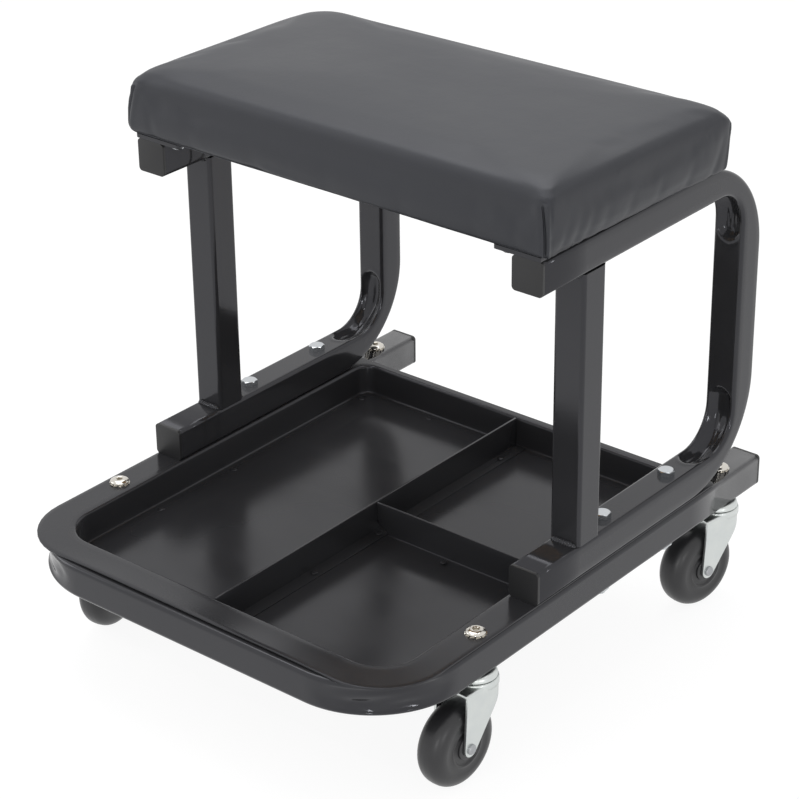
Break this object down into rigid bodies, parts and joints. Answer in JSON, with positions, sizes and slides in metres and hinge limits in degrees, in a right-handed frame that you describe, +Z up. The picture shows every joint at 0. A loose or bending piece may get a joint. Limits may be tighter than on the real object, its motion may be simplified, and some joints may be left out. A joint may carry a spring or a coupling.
{
  "type": "creeper seat",
  "caption": "Rolling work seat: padded vinyl cushion on two C-shaped tube frames over a divided tool tray with swivel casters.",
  "frame": {"origin": "on the floor under the middle of the base frame", "axes": "+Z up, front at -Y, +X to the right of a person looking along +Y"},
  "size_m": [0.38, 0.448, 0.4276],
  "materials": {
    "powder_coat": "gloss powder coat",
    "tray_enamel": "gloss powder coat",
    "cap_plastic": "satin",
    "zinc": "bright zinc plate",
    "fork_zinc": "satin zinc plate",
    "nickel": "nickel plate",
    "wheel_black": "satin hard rubber",
    "plywood": "raw",
    "foam": "open-cell foam",
    "vinyl": "satin vinyl"
  },
  "bodies": {
    "frame": {"base_frame": "powder_coat", "base_end_plugs": "cap_plastic", "tray_pan": "tray_enamel", "long_divider": "tray_enamel", "cross_divider": "tray_enamel", "tray_tack_welds": "tray_enamel", "left_side_frame": "powder_coat", "right_side_frame": "powder_coat", "left_post": "powder_coat", "right_post": "powder_coat", "side_frame_caps": "cap_plastic", "frame_weld_beads": "powder_coat", "frame_bolts": "zinc", "frame_washers": "zinc", "frame_nuts": "zinc", "caster_barrel_nuts": "nickel", "caster_tooth_washers": "nickel", "front_left_seat_plate": "powder_coat", "front_right_seat_plate": "powder_coat", "rear_left_seat_plate": "powder_coat", "rear_right_seat_plate": "powder_coat", "seat_board": "plywood", "seat_foam": "foam", "seat_cover": "vinyl", "seat_screws": "zinc", "cover_staples": "zinc", "front_left_stem": "zinc", "front_left_race": "fork_zinc", "front_right_stem": "zinc", "front_right_race": "fork_zinc", "rear_left_stem": "zinc", "rear_left_race": "fork_zinc", "rear_right_stem": "zinc", "rear_right_race": "fork_zinc"},
    "front_left_swivel": {"front_left_balls": "zinc", "front_left_thrust_washer": "zinc", "front_left_fork": "fork_zinc", "front_left_axle": "zinc", "front_left_sleeve": "zinc"},
    "front_left_roller": {"front_left_wheel": "wheel_black"},
    "front_right_swivel": {"front_right_balls": "zinc", "front_right_thrust_washer": "zinc", "front_right_fork": "fork_zinc", "front_right_axle": "zinc", "front_right_sleeve": "zinc"},
    "front_right_roller": {"front_right_wheel": "wheel_black"},
    "rear_left_swivel": {"rear_left_balls": "zinc", "rear_left_thrust_washer": "zinc", "rear_left_fork": "fork_zinc", "rear_left_axle": "zinc", "rear_left_sleeve": "zinc"},
    "rear_left_roller": {"rear_left_wheel": "wheel_black"},
    "rear_right_swivel": {"rear_right_balls": "zinc", "rear_right_thrust_washer": "zinc", "rear_right_fork": "fork_zinc", "rear_right_axle": "zinc", "rear_right_sleeve": "zinc"},
    "rear_right_roller": {"rear_right_wheel": "wheel_black"}
  },
  "joints": [
    {"name": "front_left_swivel_turn", "type": "hinge", "parent": "frame", "child": "front_left_swivel", "pos_m": [-0.1713, -0.1162, 0.0775], "axis": [0, 0, 1], "continuous": true},
    {"name": "front_left_wheel_spin", "type": "hinge", "parent": "front_left_swivel", "child": "front_left_roller", "pos_m": [-0.16673, -0.13772, 0.0325], "axis": [0.9781, 0.2079, 0], "continuous": true},
    {"name": "front_right_swivel_turn", "type": "hinge", "parent": "frame", "child": "front_right_swivel", "pos_m": [0.1713, -0.1162, 0.0775], "axis": [0, 0, 1], "continuous": true},
    {"name": "front_right_wheel_spin", "type": "hinge", "parent": "front_right_swivel", "child": "front_right_roller", "pos_m": [0.17034, -0.13818, 0.0325], "axis": [0.999, -0.0436, 0], "continuous": true},
    {"name": "rear_left_swivel_turn", "type": "hinge", "parent": "frame", "child": "rear_left_swivel", "pos_m": [-0.1713, 0.186, 0.0775], "axis": [0, 0, 1], "continuous": true},
    {"name": "rear_left_wheel_spin", "type": "hinge", "parent": "rear_left_swivel", "child": "rear_left_roller", "pos_m": [-0.16938, 0.16408, 0.0325], "axis": [0.9962, 0.0872, 0], "continuous": true},
    {"name": "rear_right_swivel_turn", "type": "hinge", "parent": "frame", "child": "rear_right_swivel", "pos_m": [0.1713, 0.186, 0.0775], "axis": [0, 0, 1], "continuous": true},
    {"name": "rear_right_wheel_spin", "type": "hinge", "parent": "rear_right_swivel", "child": "rear_right_roller", "pos_m": [0.1671, 0.1644, 0.0325], "axis": [0.9816, -0.1908, 0], "continuous": true}
  ]
}
